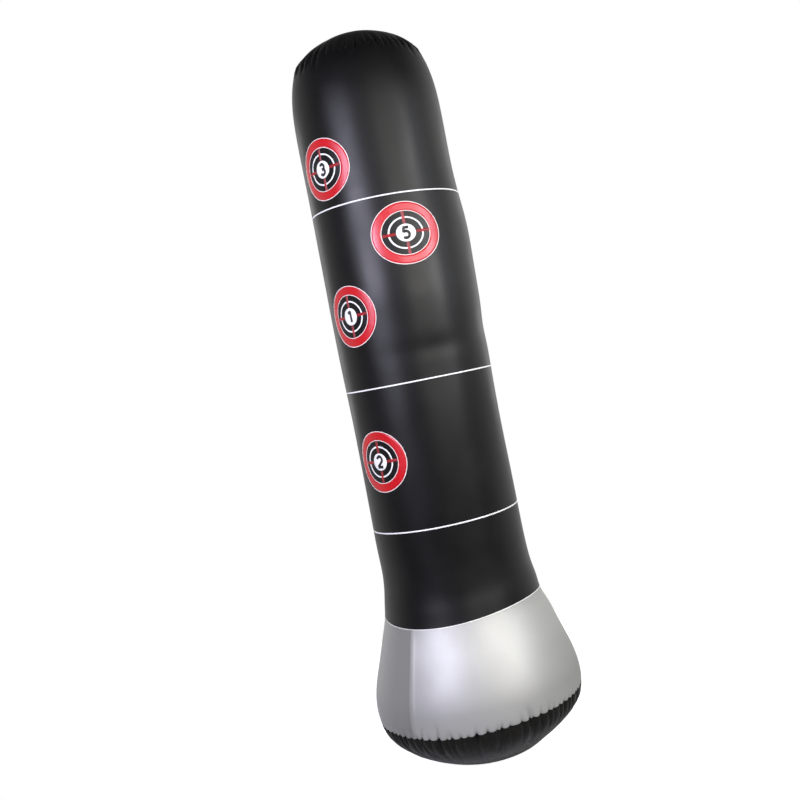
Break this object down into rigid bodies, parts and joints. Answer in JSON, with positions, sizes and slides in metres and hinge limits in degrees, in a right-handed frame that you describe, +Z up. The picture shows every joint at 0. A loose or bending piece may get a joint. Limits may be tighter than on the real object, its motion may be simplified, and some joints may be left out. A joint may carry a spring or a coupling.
{
  "type": "free standing punching bag",
  "caption": "Inflatable free-standing punching column with printed round targets, a flared water-ballasted base, a neck that bends and springs back, air valves and a screw-capped water filler.",
  "frame": {"origin": "middle of the flat patch under the base, on the floor", "axes": "+Z up along the column, -Y towards the front, where the middle target faces"},
  "size_m": [0.44, 0.4428, 1.54],
  "materials": {
    "column_film": "satin PVC film",
    "skirt_film": "pearl silver PVC film",
    "bottom_film": "matt PVC film",
    "divider_film": "matt PVC film",
    "water": "clear water",
    "valve_vinyl": "soft moulded vinyl",
    "flap_vinyl": "soft clear vinyl",
    "filler_vinyl": "moulded vinyl",
    "gasket_rubber": "matt rubber",
    "cap_plastic": "hard moulded plastic"
  },
  "bodies": {
    "base": {"bottom_panel": "bottom_film", "skirt_left_panel": "skirt_film", "skirt_right_panel": "skirt_film", "skirt_seam_strips": "skirt_film", "ballast_water": "water", "base_valve_flange": "valve_vinyl", "filler_flange": "filler_vinyl"},
    "neck": {"chamber_divider": "divider_film"},
    "column": {"column_tube": "column_film", "column_seam_strip": "column_film", "column_floor_panel": "column_film", "top_panel": "column_film", "column_valve_flange": "valve_vinyl"},
    "column_valve_stem": {"column_valve_stem": "valve_vinyl"},
    "column_valve_plug": {"column_valve_plug": "valve_vinyl"},
    "column_valve_flap": {"column_valve_flap": "flap_vinyl"},
    "base_valve_stem": {"base_valve_stem": "valve_vinyl"},
    "base_valve_plug": {"base_valve_plug": "valve_vinyl"},
    "base_valve_flap": {"base_valve_flap": "flap_vinyl"},
    "filler_gasket": {"filler_gasket": "gasket_rubber"},
    "filler_cap": {"filler_cap": "cap_plastic"}
  },
  "joints": [
    {"name": "column_lean", "type": "hinge", "parent": "base", "child": "neck", "pos_m": [0, 0, 0.308], "axis": [1, 0, 0], "range_deg": [-20, 20], "stiffness_Nm_per_rad": 80},
    {"name": "column_sway", "type": "hinge", "parent": "neck", "child": "column", "pos_m": [0, 0, 0.308], "axis": [0, 1, 0], "range_deg": [-20, 20], "stiffness_Nm_per_rad": 80},
    {"name": "column_valve_pull", "type": "slide", "parent": "column", "child": "column_valve_stem", "axis": [0, 1, 0.003], "range_m": [0, 0.012]},
    {"name": "column_valve_plug_swing", "type": "hinge", "parent": "column_valve_stem", "child": "column_valve_plug", "pos_m": [0, 0.16, 0.62991], "axis": [1, 0, 0], "range_deg": [0, 150]},
    {"name": "column_valve_flap_swing", "type": "hinge", "parent": "column_valve_stem", "child": "column_valve_flap", "pos_m": [0, 0.13911, 0.62655], "axis": [-1, 0, 0], "range_deg": [0, 60], "stiffness_Nm_per_rad": 0.0005},
    {"name": "base_valve_pull", "type": "slide", "parent": "base", "child": "base_valve_stem", "axis": [0.1001, 0.9519, 0.2895], "range_m": [0, 0.012]},
    {"name": "base_valve_plug_swing", "type": "hinge", "parent": "base_valve_stem", "child": "base_valve_plug", "pos_m": [0.02205, 0.2098, 0.20072], "axis": [0.9945, -0.1045, 0], "range_deg": [0, 150]},
    {"name": "base_valve_flap_swing", "type": "hinge", "parent": "base_valve_stem", "child": "base_valve_flap", "pos_m": [0.02006, 0.19085, 0.19151], "axis": [-0.9945, 0.1045, 0], "range_deg": [0, 60], "stiffness_Nm_per_rad": 0.0005},
    {"name": "filler_cap_lift", "type": "slide", "parent": "base", "child": "filler_gasket", "axis": [-0.2153, 0.9327, 0.2895], "range_m": [0, 0.006]},
    {"name": "filler_cap_turn", "type": "hinge", "parent": "filler_gasket", "child": "filler_cap", "pos_m": [-0.04997, 0.21645, 0.19376], "axis": [-0.2153, 0.9327, 0.2895], "range_deg": [0, 720]}
  ],
  "couplings": [
    {"joint": "filler_cap_lift", "follows": "filler_cap_turn", "m_per_rad": 0.00047746}
  ]
}
